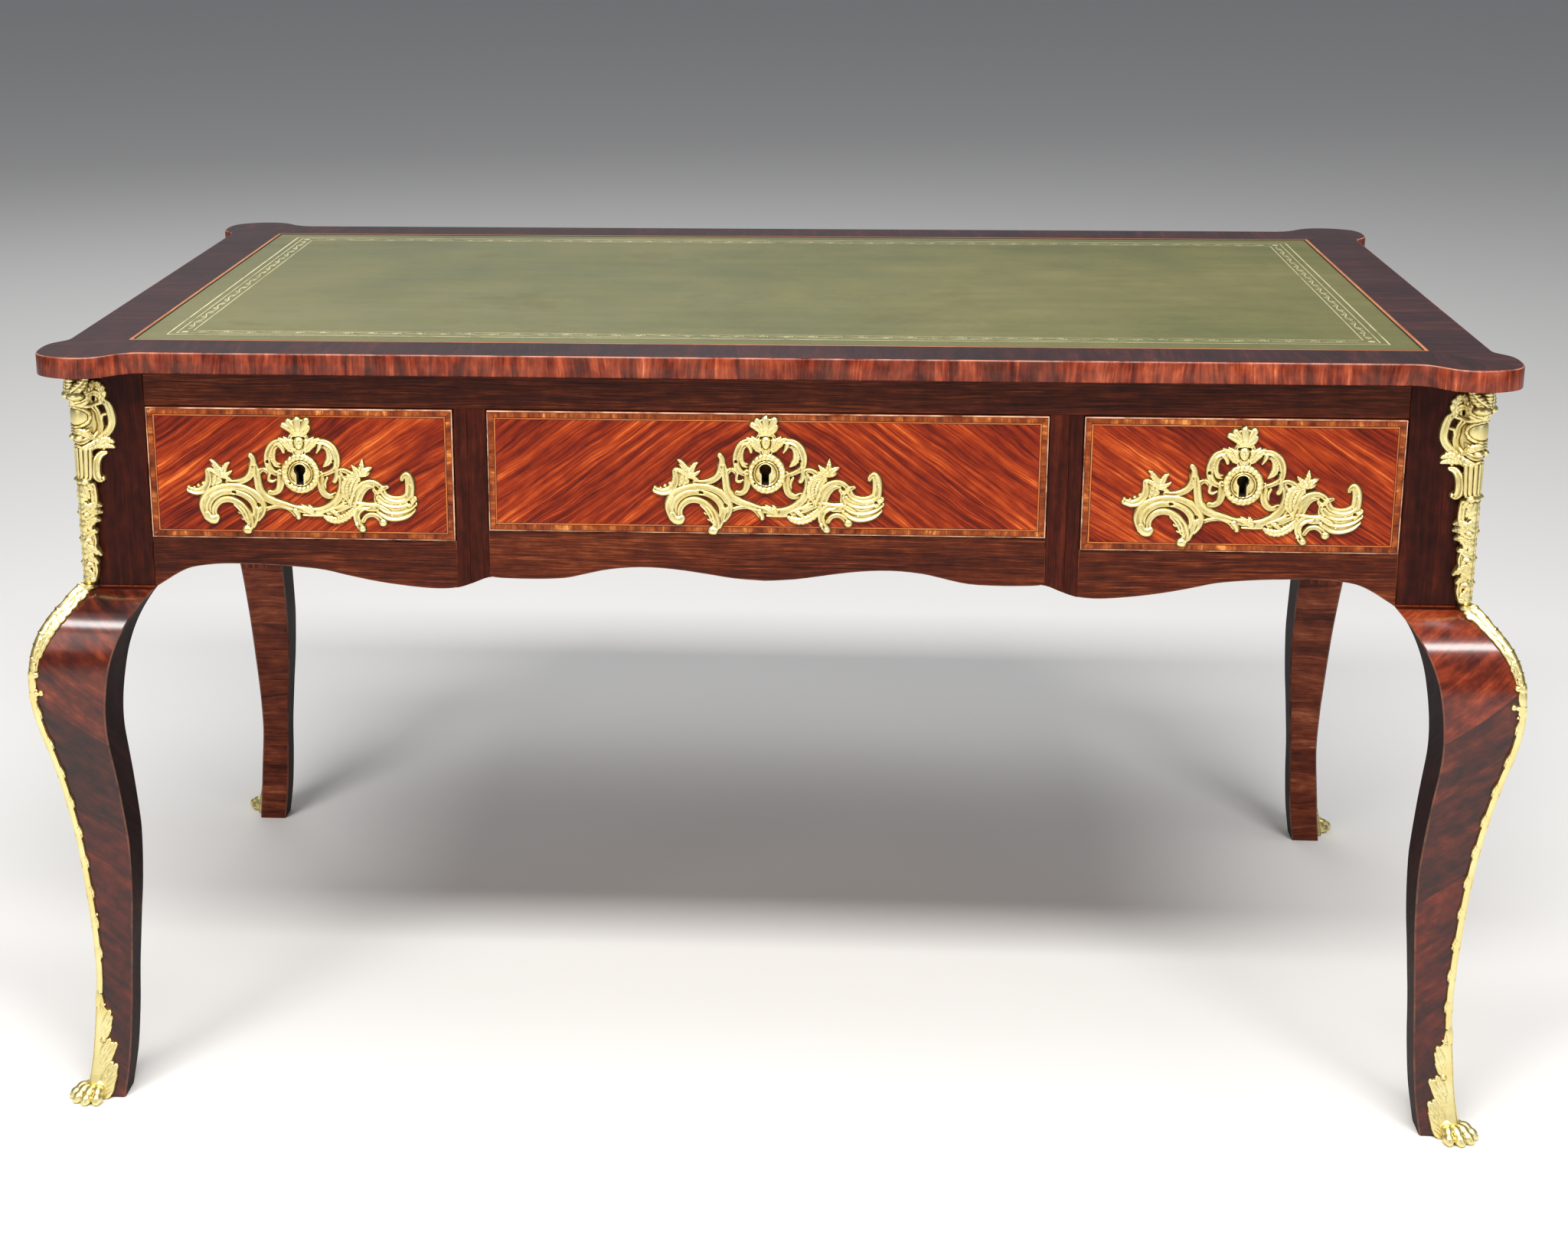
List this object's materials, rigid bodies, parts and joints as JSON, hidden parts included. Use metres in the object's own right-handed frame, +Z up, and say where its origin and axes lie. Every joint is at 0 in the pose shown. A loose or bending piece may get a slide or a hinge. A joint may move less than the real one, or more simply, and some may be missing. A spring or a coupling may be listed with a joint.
{
  "type": "writing desk",
  "caption": "Flat-topped writing desk with eared corners, an inset leather surface, lockable frieze drawers, a shaped apron, cabriole legs and gilt mounts.",
  "frame": {"origin": "on the floor, below the middle of the desk", "axes": "+Z up, +X to the sitter's right along the front, -Y out of the drawers' front"},
  "size_m": [1.4284, 0.8544, 0.78],
  "materials": {
    "leg_veneer": "satin french-polished rosewood veneer laid diagonally",
    "frieze_veneer": "satin french-polished rosewood veneer",
    "drawer_veneer": "glossy figured kingwood veneer in light stringing",
    "top_edge_veneer": "satin crossbanded veneer",
    "top_border_veneer": "polished dark crossbanded veneer",
    "stringing": "polished light stringing",
    "leather": "olive green leather with pale gilt tooling",
    "carcass_wood": "plain planed oak",
    "drawer_wood": "plain planed oak",
    "gilt_brass": "burnished gilt with dark recesses",
    "lock_brass": "aged brass",
    "steel": "dull steel"
  },
  "bodies": {
    "frame": {"leg_front_left": "leg_veneer", "leg_front_right": "leg_veneer", "leg_back_left": "leg_veneer", "leg_back_right": "leg_veneer", "front_top_rail": "frieze_veneer", "apron_front_left": "frieze_veneer", "apron_front_centre": "frieze_veneer", "apron_front_right": "frieze_veneer", "divider_stile_left": "frieze_veneer", "divider_stile_right": "frieze_veneer", "end_panel_left": "frieze_veneer", "end_panel_right": "frieze_veneer", "back_panel": "frieze_veneer", "back_false_fronts": "drawer_veneer", "partition_left": "carcass_wood", "partition_right": "carcass_wood", "drawer_runners": "carcass_wood", "drawer_kickers": "carcass_wood", "drawer_guides": "carcass_wood", "drawer_stops": "carcass_wood", "corner_blocks": "carcass_wood", "top_board": "top_edge_veneer", "top_banding": "top_border_veneer", "top_stringing": "stringing", "leather_top": "leather", "top_screws": "steel", "corner_mounts": "gilt_brass", "leg_filets": "gilt_brass", "sabot_front_left": "gilt_brass", "sabot_front_right": "gilt_brass", "sabot_back_left": "gilt_brass", "sabot_back_right": "gilt_brass", "back_escutcheons": "gilt_brass", "mount_pins": "lock_brass"},
    "drawer_left": {"drawer_front_left": "drawer_veneer", "drawer_sides_left": "drawer_wood", "drawer_back_left": "drawer_wood", "drawer_bottom_left": "drawer_wood", "lock_case_left": "lock_brass", "escutcheon_left": "gilt_brass", "escutcheon_pins_left": "lock_brass"},
    "bolt_left": {"lock_bolt_left": "steel"},
    "drawer_centre": {"drawer_front_centre": "drawer_veneer", "drawer_sides_centre": "drawer_wood", "drawer_back_centre": "drawer_wood", "drawer_bottom_centre": "drawer_wood", "lock_case_centre": "lock_brass", "escutcheon_centre": "gilt_brass", "escutcheon_pins_centre": "lock_brass"},
    "bolt_centre": {"lock_bolt_centre": "steel"},
    "drawer_right": {"drawer_front_right": "drawer_veneer", "drawer_sides_right": "drawer_wood", "drawer_back_right": "drawer_wood", "drawer_bottom_right": "drawer_wood", "lock_case_right": "lock_brass", "escutcheon_right": "gilt_brass", "escutcheon_pins_right": "lock_brass"},
    "bolt_right": {"lock_bolt_right": "steel"}
  },
  "joints": [
    {"name": "drawer_left_slide", "type": "slide", "parent": "frame", "child": "drawer_left", "axis": [0, -1, 0], "range_m": [0, 0.4]},
    {"name": "drawer_centre_slide", "type": "slide", "parent": "frame", "child": "drawer_centre", "axis": [0, -1, 0], "range_m": [0, 0.4]},
    {"name": "drawer_right_slide", "type": "slide", "parent": "frame", "child": "drawer_right", "axis": [0, -1, 0], "range_m": [0, 0.4]},
    {"name": "bolt_left_throw", "type": "slide", "parent": "drawer_left", "child": "bolt_left", "axis": [0, 0, 1], "range_m": [0, 0.007]},
    {"name": "bolt_centre_throw", "type": "slide", "parent": "drawer_centre", "child": "bolt_centre", "axis": [0, 0, 1], "range_m": [0, 0.007]},
    {"name": "bolt_right_throw", "type": "slide", "parent": "drawer_right", "child": "bolt_right", "axis": [0, 0, 1], "range_m": [0, 0.007]}
  ]
}
